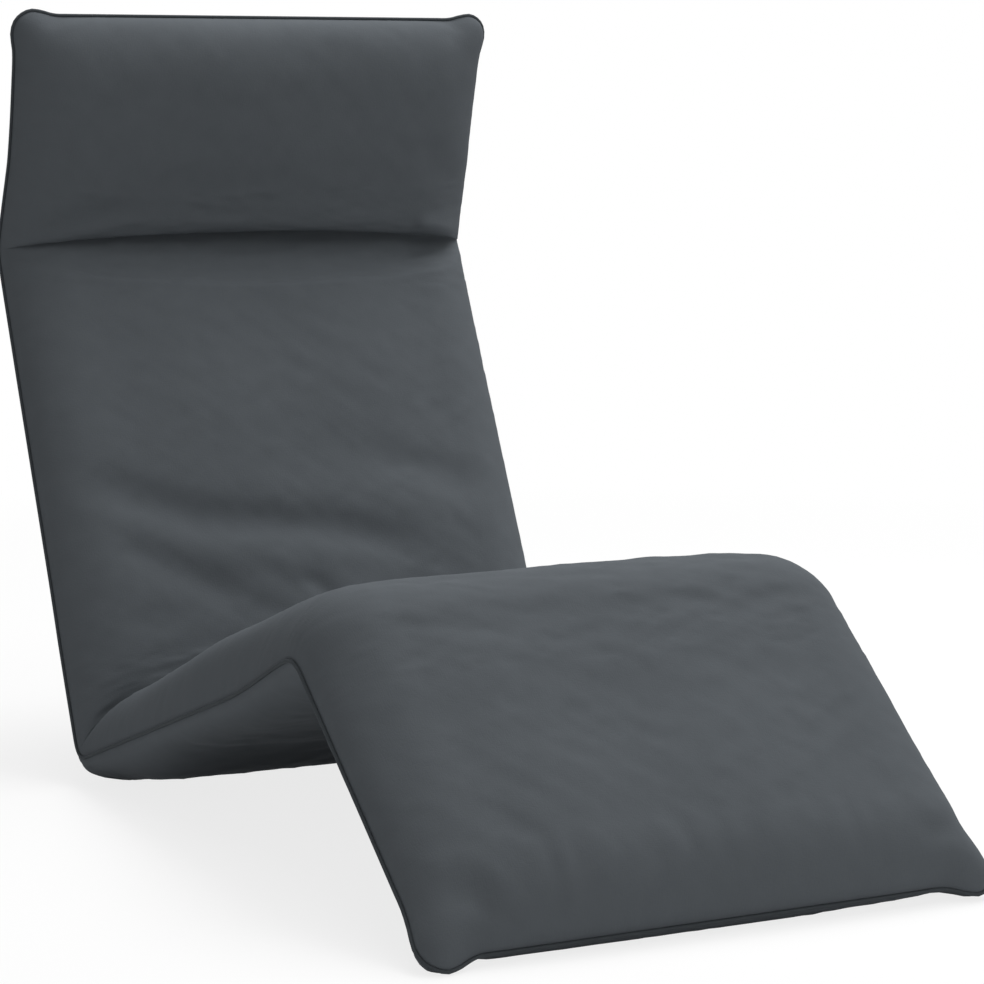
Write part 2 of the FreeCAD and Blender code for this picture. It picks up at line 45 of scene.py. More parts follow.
# How the stuffing lies: a fuller knee and seat, a head drawn in above the neck, and side seams that sag
# along the seat
KNEE_REACH = 0.13
KNEE_ROUND = 0.030
SEAT_SWELL = 0.011
SEAT_SWELL_PLACE = 0.17
SEAT_SWELL_REACH = 0.31
UNDERSIDE_SWELL = 0.014
UNDERSIDE_SWELL_PLACE = 0.12
HEAD_DRAW = 0.002
SEAT_SEAM_SAG = 0.012
SAG_RISE = 0.3
SAG_FADE = 0.20

# Loose cloth: slow waves all over, and gathers along the foot seam
SLACK_SEED = 2
SLACK_WAVES = 9
SLACK_LENGTHS = (0.14, 0.32)
SLACK = 0.0016
GATHER = 0.0006
GATHER_PITCH = 0.033
GATHER_DRIFT = 0.6
GATHER_DRIFT_RATE = 12.0
GATHER_PLACE = 0.045
GATHER_REACH = 0.050

# The cover sits a little askew on its frame: (fold, S from it, shift across)
ASKEW = [
    ("knee", 0.10, 0.0), ("hip", 0.0, -0.012), ("hip", 0.12, -0.010), ("hip", 0.42, -0.001),
    ("neck", 0.0, 0.004), ("neck", 0.10, 0.008), ("neck", 0.262, 0.007),
]
FOOT_SKEW = 0.006
FOOT_SKEW_REACH = 0.12

# Folds
FOLD_ZONE = 0.085
SEAM_ROUND = 0.022
FLOOR_SKIN = 0.0003

# Cloth simulation: the skin is a little larger than its stuffing, is held at its seam and softly all over,
# and settles under pressure
CLOTH_FRAMES = 16
CLOTH_OVERSIZE = 0.0045
CLOTH_PRESSURE = 3.0
CLOTH_BENDING = 40.0
CLOTH_HOLD = 0.32
CLOTH_LIMIT = 0.008

# Mesh spacing while it settles, which is halved afterwards
EDGE_STEPS = 7
COLUMN_STEP = 0.011
ROW_STEP = 0.010
FOLD_ROW_STEP = 0.005

# The smallest length and area that anything is divided by
TINY = 1e-6
TINY_AREA = 1e-12

# Cloth: threads and mottles per metre, and how far they show
FABRIC_COLOUR = (0.091, 0.101, 0.111)
PIPING_COLOUR = (0.058, 0.065, 0.071)
CLOTH_ROUGHNESS = 0.9
CLOTH_SPECULAR = 0.06
THREADS = 900.0
THREAD_STRETCH = 0.25
THREAD_DETAIL = 1.0
WEAVE_STRENGTH = 0.35
WEAVE_DEPTH = 0.0004
MOTTLES = 45.0
MOTTLE_DETAIL = 5.0
MOTTLE_SHADES = (0.93, 1.07)

# Frame and hinges, inside the cover
TUBE_PAINT = (0.05, 0.05, 0.055)
TUBE_ROUGHNESS = 0.45
BELT_COLOUR = (0.02, 0.02, 0.022)
RIVET_COLOUR = (0.55, 0.55, 0.56)
RIVET_ROUGHNESS = 0.3
ZINC_COLOUR = (0.5, 0.51, 0.53)
ZINC_ROUGHNESS = 0.38

# Floor: it shows whiter than it is lit, and wholly white away from the lounger
FLOOR_SIZE = 60.0
FLOOR_COLOUR = (0.9, 0.9, 0.9)
FLOOR_ROUGHNESS = 1.0
FLOOR_GLOW = 0.80
FLOOR_FADE = (0.9, 2.6)

# Camera, at the photograph's angle
CAMERA_AZIMUTH, CAMERA_ELEVATION = -26.63, 7.17
CAMERA_PLACE = (-1.356, -2.835, 0.7106)
CAMERA_LENS = 116.7
SENSOR = 36.0

# Lights: square panels, sizes in metres and powers in watts, and an even fill from the world
Light = namedtuple("Light", "name place target size power")
LIGHTS = [
    Light("key", (1.1, 0.7, 2.9), (0.0, 0.0, 0.3), 2.0, 85.0),
    Light("overhead", (0.2, -0.9, 2.8), (0.0, -0.3, 0.2), 2.6, 30.0),
    Light("front", (1.2, -2.2, 0.7), (0.0, -0.3, 0.1), 0.8, 4.6),
    Light("low_left", (-1.5, -0.2, 0.35), (0.0, 0.0, 0.0), 0.6, 0.5),
]
FILL = 0.215
WHITE = (1.0, 1.0, 1.0, 1.0)

Section = namedtuple("Section", "start s_start pitch")

# A fold bends towards its inside, the upper (1) or lower (-1) panel. Its crease is drawn in to a share
# of the panel's height, over a run on either side, and each run is slack (0) to full (1), or beyond.
# Its outside is rounder than the panel's height by a radius of its own.
Fold = namedtuple("Fold", "point s before after inside crease outer_round")
# Depths and runs before are at the left, middle and right. The middle is drawn up along the next section
# by an arch.
Crease = namedtuple("Crease", "depths runs_before run_after fullness_before fullness_after arch")
KNEE_CREASE = Crease((1.0, 1.0, 1.0), (0.060, 0.060, 0.060), 0.060, 1.0, 1.0, 0.0)
HIP_CREASE = Crease((0.95, 0.95, 0.95), (0.060, 0.060, 0.060), 0.060, 1.0, 1.0, 0.0)
NECK_CREASE = Crease((0.94, 0.54, 0.76), (0.022, 0.056, 0.034), 0.030, -0.55, 1.15, 0.015)

# A dent follows a line of (X, S from a fold) over the upper panel, and is shallower towards its ends.
# A negative depth swells instead.
Dent = namedtuple("Dent", "fold line width depth")
DENT_END = 0.2
DENT_FADE = 3.0
DENTS = [
    Dent("hip", [
        (-0.246, 0.290), (-0.178, 0.250), (-0.122, 0.226), (0.031, 0.204), (0.090, 0.188), (0.141, 0.162),
    ], 0.025, 0.0068),
    Dent("hip", [(-0.232, 0.222), (-0.162, 0.176), (-0.122, 0.152), (-0.082, 0.128)], 0.020, 0.0045),
    Dent("hip", [(-0.016, 0.154), (0.004, 0.137), (0.021, 0.118)], 0.010, 0.0032),
    Dent("hip", [(0.070, 0.290), (0.160, 0.270), (0.230, 0.235)], 0.024, 0.003),
    Dent("neck", [(0.195, 0.036), (0.230, 0.032), (0.264, 0.014)], 0.013, -0.010),
    Dent("neck", [(-0.260, 0.035), (-0.211, 0.047), (-0.140, 0.064)], 0.014, 0.003),
    Dent("neck", [(0.262, 0.075), (0.215, 0.105), (0.200, 0.140)], 0.018, 0.004),
    Dent("knee", [(-0.212, -0.332), (-0.220, -0.300), (-0.250, -0.282)], 0.009, 0.005),
    Dent("knee", [(0.212, -0.332), (0.220, -0.300), (0.250, -0.282)], 0.009, 0.005),
]

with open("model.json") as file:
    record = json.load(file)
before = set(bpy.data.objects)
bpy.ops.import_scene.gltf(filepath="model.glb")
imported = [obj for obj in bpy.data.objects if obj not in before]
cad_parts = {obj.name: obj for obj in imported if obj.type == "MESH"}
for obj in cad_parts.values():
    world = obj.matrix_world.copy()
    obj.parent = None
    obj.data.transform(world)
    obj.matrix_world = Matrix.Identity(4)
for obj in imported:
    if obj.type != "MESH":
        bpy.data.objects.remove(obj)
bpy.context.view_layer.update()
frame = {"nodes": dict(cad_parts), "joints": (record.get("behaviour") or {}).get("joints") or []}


# Where the sections stand

def along(pitch):
    return np.array([math.cos(pitch), math.sin(pitch)])


def upward(pitch):
    return np.array([-math.sin(pitch), math.cos(pitch)])


def pitch_of(low, high):
    return math.atan2(high[1] - low[1], high[0] - low[0])


def joint_of(name):
    return next(joint for joint in frame["joints"] if joint["name"] == f"{name}_fold")


def hinge_point(name):
    """A hinge axis as (Y, Z)."""
    return np.array(joint_of(name)["pos_m"][1:])


def bend_of(name):
    """How far a fold is bent from flat, which is where it opens to."""
    return math.radians(joint_of(name)["range_deg"][1])


def stand():
    """The four sections and three folds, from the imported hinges."""
    knee, hip, neck = (hinge_point(name) for name in ("knee", "hip", "neck"))
    seat, back = pitch_of(knee, hip), pitch_of(hip, neck)
    leg, head = seat + bend_of("knee"), back + bend_of("neck")
    s_knee = LEG_REACH
    s_hip = s_knee + np.linalg.norm(hip - knee)
    s_neck = s_hip + np.linalg.norm(neck - hip)
    sections = [
        Section(knee - along(leg) * LEG_REACH, 0.0, leg),
        Section(knee, s_knee, seat),
        Section(hip, s_hip, back),
        Section(neck, s_neck, head),
    ]
    folds = {
        "knee": Fold(knee, s_knee, leg, seat, -1, KNEE_CREASE, KNEE_ROUND),
        "hip": Fold(hip, s_hip, seat, back, 1, HIP_CREASE, 0.0),
        "neck": Fold(neck, s_neck, back, head, 1, NECK_CREASE, 0.0),
    }
    return sections, folds


SECTIONS, FOLDS = stand()
S_TOP = FOLDS["neck"].s + HEAD_REACH


# The flat cover

def smooth(t):
    t = np.clip(t, 0.0, 1.0)
    return t * t * (3.0 - 2.0 * t)


def bump(distance, reach):
    """1 in the middle, falling smoothly to 0 at a reach either way."""
    return smooth(1.0 - np.abs(distance) / reach)


def edge_rise(distance, edge, crown, reach, squareness=CROWN_SQUARENESS):
    """Height over the seam at a distance from it: a quarter of an oval, under a low crown."""
    rim = np.clip(1.0 - distance / EDGE_RUN, 0.0, 1.0)
    inner = np.clip((reach - distance) / reach, 0.0, 1.0)
    low_crown = crown - (crown - edge) * inner ** squareness
    return low_crown * np.sqrt(1.0 - rim ** 2)


def rim_steps():
    return EDGE_RUN * (1.0 - np.cos(np.linspace(0.0, math.pi / 2.0, EDGE_STEPS + 1)))


def columns():
    """Places across the cover, close together on the rounded edges."""
    rim = rim_steps()
    count = round(2.0 * (HALF_WIDTH - EDGE_RUN) / COLUMN_STEP)
    middle = np.linspace(EDGE_RUN - HALF_WIDTH, HALF_WIDTH - EDGE_RUN, count + 1)[1:-1]
    return np.concatenate([rim - HALF_WIDTH, middle, (HALF_WIDTH - rim)[::-1]])


def rows():
    """Places along the cover, close together at its ends and folds."""
    rim = rim_steps()
    stops = [EDGE_RUN]
    for fold in FOLDS.values():
        stops += [fold.s - FOLD_ZONE, fold.s, fold.s + FOLD_ZONE]
    stops.append(S_TOP - EDGE_RUN)
    places = [rim[:-1]]
    for number, (low, high) in enumerate(zip(stops, stops[1:])):
        away_from_folds = number % 3 == 0
        step = ROW_STEP if away_from_folds else FOLD_ROW_STEP
        places.append(np.linspace(low, high, round((high - low) / step) + 1)[:-1])
    places.append((S_TOP - rim)[::-1])
    return np.concatenate(places)


def corner_draw(s):
    """How far the side seam draws in at the rounded corners."""
    to_end = np.minimum(s, S_TOP - s)
    rim = np.clip(1.0 - to_end / CORNER_RADIUS, 0.0, 1.0)
    return CORNER_RADIUS * (1.0 - np.sqrt(1.0 - rim ** 2))


def line_distance(x, s, line):
    """Distance of each point from a line of points, and how far along the line it is."""
    nearest, place = np.full(x.shape, np.inf), np.zeros(x.shape)
    for number, ((x0, s0), (x1, s1)) in enumerate(zip(line, line[1:])):
        dx, ds = x1 - x0, s1 - s0
        t = np.clip(((x - x0) * dx + (s - s0) * ds) / (dx * dx + ds * ds), 0.0, 1.0)
        distance = np.hypot(x - x0 - t * dx, s - s0 - t * ds)
        place = np.where(distance < nearest, (number + t) / (len(line) - 1), place)
        nearest = np.minimum(nearest, distance)
    return nearest, place


def dented(x, s, height):
    """The upper panel with its wrinkles, which fade out at their ends."""
    for dent in DENTS:
        distance, place = line_distance(x, s - FOLDS[dent.fold].s, dent.line)
        from_start = smooth(DENT_END + DENT_FADE * place)
        from_end = smooth(DENT_END + DENT_FADE * (1.0 - place))
        height = height - dent.depth * from_start * from_end * np.exp(-(distance / dent.width) ** 2)
    return height


def eared(x, s, height):
    """Draws the four corners out."""
    for ear, end, to_end in ((FOOT_EAR, -1.0, s), (TOP_EAR, 1.0, S_TOP - s)):
        distance = np.hypot(HALF_WIDTH - np.abs(x), to_end)
        pull = smooth(EAR_SHOULDER * (1.0 - distance / ear.reach))
        height = height * (1.0 + ear.rise / UPPER_EDGE * pull)
        x = x + np.sign(x) * ear.sideways * pull
        s = s + end * ear.endways * pull
    return x, s, height


def askew(s):
    """How far the cover lies to one side."""
    places = [FOLDS[fold].s + beyond for fold, beyond, _ in ASKEW]
    return np.interp(s, places, [shift for _, _, shift in ASKEW])


def slack(x, s, side):
    """Slow waves of the loose cloth, and gathers beside the foot seam."""
    source = np.random.default_rng(SLACK_SEED + side)
    waves = np.zeros(x.shape)
    for heading, length, phase in source.random((SLACK_WAVES, 3)):
        length = SLACK_LENGTHS[0] + (SLACK_LENGTHS[1] - SLACK_LENGTHS[0]) * length
        across_wave = x * math.cos(math.pi * heading) + s * math.sin(math.pi * heading)
        waves += np.sin(2.0 * math.pi * (across_wave / length + phase))
    drift = GATHER_DRIFT * np.sin(GATHER_DRIFT_RATE * math.pi * x)
    ripple = np.sin(2.0 * math.pi * (x / GATHER_PITCH + drift))
    gathers = GATHER * ripple * bump(s - GATHER_PLACE, GATHER_REACH)
    return SLACK * waves / math.sqrt(SLACK_WAVES) + gathers


def flat_skin(side):
    """One panel laid flat: X, S and height over the seam plane, as grids of rows by columns."""
    edge, crown = (UPPER_EDGE, UPPER_CROWN) if side > 0 else (LOWER_EDGE, LOWER_CROWN)
    x, s = np.meshgrid(columns(), rows())
    knee = bump(s - FOLDS["knee"].s, KNEE_REACH)
    squareness = CROWN_SQUARENESS + KNEE_EXTRA_SQUARENESS * knee
    height = edge_rise(HALF_WIDTH - np.abs(x), edge, crown, HALF_WIDTH, squareness)
    to_end = np.minimum(s, S_TOP - s)
    lengthwise = np.minimum(edge_rise(to_end, UPPER_EDGE, crown, LEG_REACH) / crown, 1.0)
    height = height * lengthwise
    if side > 0:
        swell = SEAT_SWELL * bump(s - FOLDS["knee"].s - SEAT_SWELL_PLACE, SEAT_SWELL_REACH)
        full = dented(x, s, height + swell)
    else:
        swell = bump(s - FOLDS["hip"].s + UNDERSIDE_SWELL_PLACE, UNDERSIDE_SWELL_PLACE)
        full = height + UNDERSIDE_SWELL * swell
    height = height + (full + slack(x, s, side) - height) * smooth(height / edge)
    draw = corner_draw(s) + HEAD_DRAW * bump(s - S_TOP + HEAD_REACH / 2.0, HEAD_REACH / 2.0)
    x, s, height = eared(x * (1.0 - draw / HALF_WIDTH), s, height)
    s = s - FOOT_SKEW * (0.5 - 0.5 * x / HALF_WIDTH) * (1.0 - smooth(s / FOOT_SKEW_REACH))
    return x + askew(s), s, height


# The cover as the lounger stands

def straight(s, height, side):
    """Y and Z of points on unfolded sections."""
    y, z = np.zeros_like(s), np.zeros_like(s)
    for section in SECTIONS:
        here = s >= section.s_start if section.s_start else np.full(s.shape, True)
        run = s - section.s_start
        a, n = along(section.pitch), upward(section.pitch) * side
        y = np.where(here, section.start[0] + run * a[0] + height * n[0], y)
        z = np.where(here, section.start[1] + run * a[1] + height * n[1], z)
    return y, z


def across(x, left, middle, right):
    """A value that changes smoothly over the width."""
    place = x / HALF_WIDTH
    return middle + (right - left) / 2.0 * place + ((right + left) / 2.0 - middle) * place ** 2


def creased(fold, x, sigma, height, y, z):
    """Moves the inside of a fold into a crease where two sections press together."""
    half = abs(fold.after - fold.before) / 2.0
    bisector = upward((fold.before + fold.after) / 2.0) * fold.inside
    first = sigma < 0.0
    run = np.where(first, across(x, *fold.crease.runs_before), fold.crease.run_after)
    fullness = np.where(first, fold.crease.fullness_before, fold.crease.fullness_after)
    depth = across(x, *fold.crease.depths)
    lift = across(x, 0.0, fold.crease.arch, 0.0)
    reach = height * math.tan(half) + run * np.minimum(1.0, height / UPPER_EDGE)
    t = np.clip(np.abs(sigma) / np.maximum(reach, TINY), 0.0, 1.0)
    folded = []
    for axis in (0, 1):
        drawn_up = lift * along(fold.after)[axis]
        corner = bisector[axis] * height / math.cos(half) + drawn_up / 2.0
        bottom = bisector[axis] * height * depth + drawn_up
        before = -along(fold.before)[axis] * reach + upward(fold.before)[axis] * fold.inside * height
        after = along(fold.after)[axis] * reach + upward(fold.after)[axis] * fold.inside * height
        shoulder = np.where(first, before, after)
        halfway = (bottom + shoulder) / 2.0
        control = halfway + (corner - halfway) * fullness
        curve = (1.0 - t) ** 2 * bottom + 2.0 * t * (1.0 - t) * control + t ** 2 * shoulder
        folded.append(fold.point[axis] + curve)
    inside = np.abs(sigma) < reach
    return np.where(inside, folded[0], y), np.where(inside, folded[1], z)


def rolled(fold, sigma, height, y, z):
    """Moves the outside of a fold on to a round that meets both sections."""
    half = abs(fold.after - fold.before) / 2.0
    radius = height + fold.outer_round * smooth(height / UPPER_EDGE)
    arc = radius * half
    reach = sigma / FOLD_ZONE * (arc + FOLD_ZONE - (radius - height) * math.tan(half))
    angle = np.clip(reach / np.maximum(radius, TINY), -half, half) * fold.inside
    outward = (fold.before + fold.after) / 2.0 - fold.inside * math.pi / 2.0
    inset = (height - radius) / math.cos(half)
    beyond = np.sign(reach) * np.maximum(np.abs(reach) - arc, 0.0)
    pitch = np.where(sigma < 0.0, fold.before, fold.after)
    here = np.abs(sigma) < FOLD_ZONE
    round_y = inset * math.cos(outward) + radius * np.cos(outward + angle) + beyond * np.cos(pitch)
    round_z = inset * math.sin(outward) + radius * np.sin(outward + angle) + beyond * np.sin(pitch)
    return np.where(here, fold.point[0] + round_y, y), np.where(here, fold.point[1] + round_z, z)


def round_seam(s, height, points):
    """Rounds the seam where it turns at a fold, less and less away from it."""
    edge_share = 1.0 - smooth(height / LOWER_EDGE)
    for fold in FOLDS.values():
        sigma = np.abs(s - fold.s)
        share = np.clip(1.0 - sigma / SEAM_ROUND, 0.0, 1.0) ** 2 / 2.0 * edge_share
        chord = -along(fold.before) + along(fold.after)
        points = points + share[..., None] * np.array([0.0, *chord]) * SEAM_ROUND / 2.0
    return points


def sag_seam(s, height, points):
    """Lets the side seams of the seat hang below their straight line."""
    knee, hip = FOLDS["knee"].s, FOLDS["hip"].s
    hang = smooth((s - knee) / (hip - knee) / SAG_RISE) * (1.0 - smooth((s - hip) / SAG_FADE))
    points[..., 2] -= SEAT_SEAM_SAG * hang * (1.0 - smooth(height / UPPER_EDGE))
    return points


def folded_skin(side):
    """One panel as the lounger stands: a grid of points, and their flat places."""
    x, s, height = flat_skin(side)
    y, z = straight(s, height, side)
    for fold in FOLDS.values():
        if side == fold.inside:
            y, z = creased(fold, x, s - fold.s, height, y, z)
        else:
            y, z = rolled(fold, s - fold.s, height, y, z)
    points = round_seam(s, height, np.stack([x, y, z], axis=-1))
    points = sag_seam(s, height, points)
    points[..., 2] = np.maximum(points[..., 2], FLOOR_SKIN)
    return points, np.stack([x, s], axis=-1)


Skin = namedtuple("Skin", "points flat normals upper lower")


def quads(index, flip):
    a, b, c, d = index[:-1, :-1], index[:-1, 1:], index[1:, 1:], index[1:, :-1]
    corners = (a, d, c, b) if flip else (a, b, c, d)
    return np.stack([corner.ravel() for corner in corners], axis=-1)


def vertex_normals(points, faces):
    corners = points[faces]
    face_normals = np.cross(corners[:, 2] - corners[:, 0], corners[:, 3] - corners[:, 1])
    normals = np.zeros_like(points)
    for corner in range(4):
        np.add.at(normals, faces[:, corner], face_normals)
    return normals / np.maximum(np.linalg.norm(normals, axis=1, keepdims=True), TINY_AREA)


def sewn(shape):
    """Vertex numbers of both panels, as grids that share their seam."""
    upper = np.arange(shape[0] * shape[1]).reshape(shape)
    lower = upper.copy()
    inner = lower[1:-1, 1:-1]
    inner[:] = upper.size + np.arange(inner.size).reshape(inner.shape)
    return upper, lower


def gathered(upper, lower):
    """Values of both panels in the order of their vertex numbers."""
    inner = lower[1:-1, 1:-1]
    return np.concatenate([upper.reshape(-1, upper.shape[-1]), inner.reshape(-1, inner.shape[-1])])


def skin_faces(upper, lower):
    return np.concatenate([quads(upper, False), quads(lower, True)])


def refined(grid):
    """A grid with a smooth halfway value between each two rows and each two columns."""
    for _ in range(2):
        wide = np.concatenate([2.0 * grid[:1] - grid[1:2], grid, 2.0 * grid[-1:] - grid[-2:-1]])
        halfway = (9.0 * (wide[1:-2] + wide[2:-1]) - wide[:-3] - wide[3:]) / 16.0
        finer = np.empty((2 * len(grid) - 1, *grid.shape[1:]))
        finer[::2], finer[1::2] = grid, halfway
        grid = finer.swapaxes(0, 1)
    return grid


def settled(points, faces, seam):
    """Where the skin lies after it has settled as cloth over its stuffing."""
    obj = new_object("settling_cloth", points, faces)
    hold = obj.vertex_groups.new(name="hold")
    hold.add(list(range(len(points))), CLOTH_HOLD, "REPLACE")
    hold.add(seam.tolist(), 1.0, "REPLACE")
    cloth = obj.modifiers.new("settling", "CLOTH")
    cloth.collision_settings.use_collision = False
    settings = cloth.settings
    settings.vertex_group_mass = hold.name
    settings.shrink_min = -CLOTH_OVERSIZE
    settings.bending_stiffness = CLOTH_BENDING
    settings.use_pressure = True
    settings.uniform_pressure_force = CLOTH_PRESSURE
    settings.effector_weights.gravity = 0.0
    cloth.point_cache.frame_end = CLOTH_FRAMES
    scene = bpy.context.scene
    for number in range(1, CLOTH_FRAMES + 1):
        scene.frame_set(number)
    mesh = obj.evaluated_get(bpy.context.evaluated_depsgraph_get()).data
    moved = np.zeros(points.size)
    mesh.vertices.foreach_get("co", moved)
    bpy.data.objects.remove(obj)
    scene.frame_set(1)
    step = moved.reshape(-1, 3) - points
    length = np.linalg.norm(step, axis=1, keepdims=True)
    return points + step * np.minimum(1.0, CLOTH_LIMIT / np.maximum(length, TINY))


def sewn_skin():
    """Both panels sewn along their seam and settled."""
    panels, flats = zip(folded_skin(1), folded_skin(-1))
    upper, lower = sewn(panels[0].shape[:2])
    seam = np.setdiff1d(upper, upper[1:-1, 1:-1])
    points = settled(gathered(*panels), skin_faces(upper, lower), seam)
    panels = points[upper], points[lower]
    points = gathered(*(refined(panel) for panel in panels))
    points[:, 2] = np.maximum(points[:, 2], FLOOR_SKIN)
    flats = [refined(flat) for flat in flats]
    upper, lower = sewn(flats[0].shape[:2])
    return Skin(points, gathered(*flats), vertex_normals(points, skin_faces(upper, lower)), upper, lower)


# Pieces: the cover is cut across the middle of the back and of the seat, so each part holds one fold

def new_object(name, points, faces, flat=None, normals=None):
    mesh = bpy.data.meshes.new(name)
    mesh.from_pydata(points.tolist(), [], faces.tolist())
    mesh.polygons.foreach_set("use_smooth", [True] * len(mesh.polygons))
    if flat is not None:
        layer = mesh.uv_layers.new(name="flat")
        layer.data.foreach_set("uv", flat[faces.ravel()].ravel())
    if normals is not None:
        mesh.normals_split_custom_set_from_vertices(normals.tolist())
    obj = bpy.data.objects.new(name, mesh)
    bpy.context.collection.objects.link(obj)
    return obj


def cover_piece(name, skin, low, high):
    """The skin between two rows."""
    band = slice(low, high + 1)
    faces = skin_faces(skin.upper[band], skin.lower[band])
    used, local = np.unique(faces, return_inverse=True)
    faces = local.reshape(faces.shape)
    return new_object(name, skin.points[used], faces, skin.flat[used], skin.normals[used])


def piping_piece(name, skin, paths):
    """Round cords along runs of the seam."""
    turn = np.linspace(0.0, 2.0 * math.pi, PIPING_SIDES, endpoint=False)
    points, faces, flat = [], [], []
    for path in paths:
        tangent = np.gradient(skin.points[path], axis=0)
        tangent /= np.linalg.norm(tangent, axis=1, keepdims=True)
        outward = skin.normals[path]
        outward = outward - tangent * np.sum(outward * tangent, axis=1, keepdims=True)
        outward /= np.linalg.norm(outward, axis=1, keepdims=True)
        sideways = np.cross(tangent, outward)
        middle = skin.points[path] + outward * PIPING_STAND_OUT
        ring = np.cos(turn)[:, None] * outward[:, None] + np.sin(turn)[:, None] * sideways[:, None]
        start = sum(len(p) for p in points)
        index = start + np.arange(len(path) * PIPING_SIDES).reshape(len(path), PIPING_SIDES)
        index = np.concatenate([index, index[:, :1]], axis=1)
        points.append((middle[:, None] + ring * PIPING_RADIUS).reshape(-1, 3))
        flat.append(np.repeat(skin.flat[path], PIPING_SIDES, axis=0))
        faces.append(quads(index, False))
    return new_object(name, np.concatenate(points), np.concatenate(faces), np.concatenate(flat))


def bend(obj):
    """Bakes a piece's placement into its mesh."""
    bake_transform(obj)


def soft_nodes(*names):
    kinds = ("_cover", "_foam", "_padding")
    return [n for n in frame["nodes"] if n.startswith(names) and n.endswith(kinds)]


def row_at(skin, s):
    """The row that lies nearest to S on the middle line."""
    middle = skin.upper[:, skin.upper.shape[1] // 2]
    return int(np.argmin(np.abs(skin.flat[middle, 1] - s)))


def build_cover(fabric, piping_fabric):
    skin = sewn_skin()
    last = len(skin.upper) - 1
    seat_cut = row_at(skin, (FOLDS["knee"].s + FOLDS["hip"].s) / 2.0)
    back_cut = row_at(skin, (FOLDS["hip"].s + FOLDS["neck"].s) / 2.0)
    left, right = skin.upper[:, 0], skin.upper[:, -1]
    top_path = np.concatenate([left[back_cut:], skin.upper[-1, 1:-1], right[back_cut:][::-1]])
    foot_path = np.concatenate([left[:seat_cut + 1][::-1], skin.upper[0, 1:-1], right[:seat_cut + 1]])
    side_paths = [left[seat_cut:back_cut + 1], right[seat_cut:back_cut + 1]]
    parts = [
        ("leg", "knee", "leg", "seat", (0, seat_cut), [foot_path], ("leg", "knee")),
        ("seat", "hip", "seat", "back", (seat_cut, back_cut), side_paths, ("seat", "hip", "back")),
        ("head", "neck", "back", "head", (back_cut, last), [top_path], ("neck", "head")),
    ]
    for name, fold, before, after, span, paths, nodes in parts:
        cover = cover_piece(f"{name}_padded_cover", skin, *span)
        cord = piping_piece(f"{name}_seam_piping", skin, paths)
        cover.data.materials.append(fabric)
        cord.data.materials.append(piping_fabric)
        for piece in (cover, cord):
            bend(piece)
        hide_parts(*soft_nodes(*nodes))
        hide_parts(*[n for n in frame["nodes"] if n.startswith(nodes) and n.endswith("_piping")])


# Materials

def principled(name, colour, roughness, metallic=0.0):
    material = bpy.data.materials.new(name)
    material.use_nodes = True
    shader = material.node_tree.nodes["Principled BSDF"]
    shader.inputs["Base Color"].default_value = (*colour, 1.0)
    shader.inputs["Roughness"].default_value = roughness
    shader.inputs["Metallic"].default_value = metallic
    return material, shader


def woven(name, colour):
    """Plain-woven cloth: uneven threads both ways, and a faint mottle."""
    material, shader = principled(name, colour, CLOTH_ROUGHNESS)
    shader.inputs["Specular IOR Level"].default_value = CLOTH_SPECULAR
    nodes, links = material.node_tree.nodes, material.node_tree.links
    place = nodes.new("ShaderNodeUVMap")
    threads = []
    for stretch in ((THREADS, THREADS * THREAD_STRETCH, 1.0), (THREADS * THREAD_STRETCH, THREADS, 1.0)):
        spread, grain = nodes.new("ShaderNodeMapping"), nodes.new("ShaderNodeTexNoise")
        spread.inputs["Scale"].default_value = stretch
        grain.inputs["Scale"].default_value = 1.0
        grain.inputs["Detail"].default_value = THREAD_DETAIL
        links.new(place.outputs["UV"], spread.inputs["Vector"])
        links.new(spread.outputs["Vector"], grain.inputs["Vector"])
        threads.append(grain.outputs["Fac"])
    weave, relief = nodes.new("ShaderNodeMath"), nodes.new("ShaderNodeBump")
    links.new(threads[0], weave.inputs[0])
    links.new(threads[1], weave.inputs[1])
    relief.inputs["Strength"].default_value = WEAVE_STRENGTH
    relief.inputs["Distance"].default_value = WEAVE_DEPTH
    links.new(weave.outputs["Value"], relief.inputs["Height"])
    links.new(relief.outputs["Normal"], shader.inputs["Normal"])
    mottle, tones = nodes.new("ShaderNodeTexNoise"), nodes.new("ShaderNodeValToRGB")
    mottle.inputs["Scale"].default_value = MOTTLES
    mottle.inputs["Detail"].default_value = MOTTLE_DETAIL
    links.new(place.outputs["UV"], mottle.inputs["Vector"])
    links.new(mottle.outputs["Fac"], tones.inputs["Fac"])
    for stop, shade in zip(tones.color_ramp.elements, MOTTLE_SHADES):
        stop.color = (*(channel * shade for channel in colour), 1.0)
    links.new(tones.outputs["Color"], shader.inputs["Base Color"])
    return material


def steel(name, colour, roughness):
    return principled(name, colour, roughness, 1.0)[0]


def dress_frame():
    """Materials of the CAD pieces that show as they are."""
    finishes = {
        "frame": steel("painted_tube", TUBE_PAINT, TUBE_ROUGHNESS),
        "webbing": woven("belt_webbing", BELT_COLOUR),
        "rivets": steel("rivet_steel", RIVET_COLOUR, RIVET_ROUGHNESS),
        "other": steel("zinc_plate", ZINC_COLOUR, ZINC_ROUGHNESS),
    }
    for name, node in frame["nodes"].items():
        node.data.materials.clear()
        node.data.materials.append(finishes.get(name.split("_")[-1], finishes["other"]))


# Stage

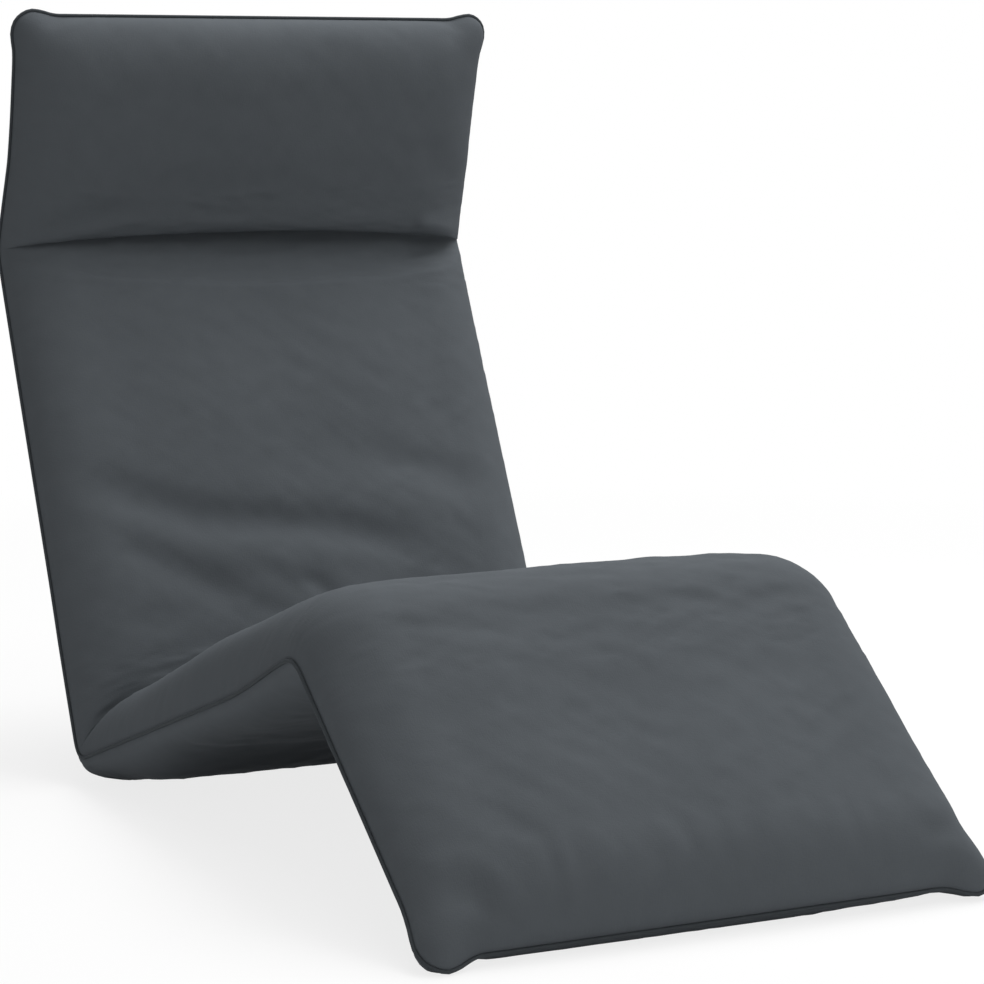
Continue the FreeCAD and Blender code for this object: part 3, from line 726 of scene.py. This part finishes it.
def add_camera():
    data = bpy.data.cameras.new("camera")
    data.lens, data.sensor_width = CAMERA_LENS, SENSOR
    camera = bpy.data.objects.new("camera", data)
    bpy.context.collection.objects.link(camera)
    a, e = math.radians(CAMERA_AZIMUTH), math.radians(CAMERA_ELEVATION)
    back = Vector((math.sin(a) * math.cos(e), -math.cos(a) * math.cos(e), math.sin(e)))
    camera.location = CAMERA_PLACE
    camera.rotation_mode = "QUATERNION"
    camera.rotation_quaternion = (-back).to_track_quat("-Z", "Y")
    bpy.context.scene.camera = camera


def seen_rays(nodes, links):
    """1 for what the camera sees, straight or in metal or glass, and 0 for the light on the lounger."""
    path = nodes.new("ShaderNodeLightPath")
    straight_or_metal, any_seen = nodes.new("ShaderNodeMath"), nodes.new("ShaderNodeMath")
    for node in (straight_or_metal, any_seen):
        node.operation = "MAXIMUM"
    links.new(path.outputs["Is Camera Ray"], straight_or_metal.inputs[0])
    links.new(path.outputs["Is Glossy Ray"], straight_or_metal.inputs[1])
    links.new(straight_or_metal.outputs["Value"], any_seen.inputs[0])
    links.new(path.outputs["Is Transmission Ray"], any_seen.inputs[1])
    return any_seen.outputs["Value"]


def add_floor():
    bpy.ops.mesh.primitive_plane_add(size=FLOOR_SIZE)
    floor = bpy.context.object
    floor.name = "floor"
    material, shader = principled("pale_floor", FLOOR_COLOUR, FLOOR_ROUGHNESS)
    nodes, links = material.node_tree.nodes, material.node_tree.links
    place, reach, fade = (nodes.new(f"ShaderNode{kind}") for kind in ("TexCoord", "VectorMath", "MapRange"))
    share, mix, glow = (nodes.new(f"ShaderNode{kind}") for kind in ("Math", "MixShader", "Emission"))
    reach.operation = "LENGTH"
    share.operation = "MULTIPLY"
    for socket, value in zip(("From Min", "From Max", "To Min", "To Max"), (*FLOOR_FADE, FLOOR_GLOW, 1.0)):
        fade.inputs[socket].default_value = value
    links.new(place.outputs["Object"], reach.inputs[0])
    links.new(reach.outputs["Value"], fade.inputs["Value"])
    links.new(fade.outputs["Result"], share.inputs[0])
    links.new(seen_rays(nodes, links), share.inputs[1])
    links.new(share.outputs["Value"], mix.inputs["Fac"])
    links.new(shader.outputs["BSDF"], mix.inputs[1])
    links.new(glow.outputs["Emission"], mix.inputs[2])
    links.new(mix.outputs["Shader"], nodes["Material Output"].inputs["Surface"])
    floor.data.materials.append(material)


def add_light(light):
    data = bpy.data.lights.new(light.name, "AREA")
    data.shape, data.size, data.energy = "SQUARE", light.size, light.power
    lamp = bpy.data.objects.new(light.name, data)
    bpy.context.collection.objects.link(lamp)
    lamp.location = light.place
    lamp.rotation_mode = "QUATERNION"
    lamp.rotation_quaternion = (Vector(light.target) - Vector(light.place)).to_track_quat("-Z", "Y")


def add_world():
    world = bpy.data.worlds.new("studio")
    world.use_nodes = True
    nodes, links = world.node_tree.nodes, world.node_tree.links
    fill = nodes["Background"]
    fill.inputs["Color"].default_value = WHITE
    fill.inputs["Strength"].default_value = FILL
    white, mix = nodes.new("ShaderNodeBackground"), nodes.new("ShaderNodeMixShader")
    white.inputs["Color"].default_value = WHITE
    links.new(seen_rays(nodes, links), mix.inputs["Fac"])
    links.new(fill.outputs["Background"], mix.inputs[1])
    links.new(white.outputs["Background"], mix.inputs[2])
    links.new(mix.outputs["Shader"], nodes["World Output"].inputs["Surface"])
    bpy.context.scene.world = world


build_cover(woven("anthracite_weave", FABRIC_COLOUR), woven("dark_piping_weave", PIPING_COLOUR))
dress_frame()
add_camera()
add_floor()
for studio_light in LIGHTS:
    add_light(studio_light)
add_world()
bpy.context.scene.view_settings.view_transform = "Standard"
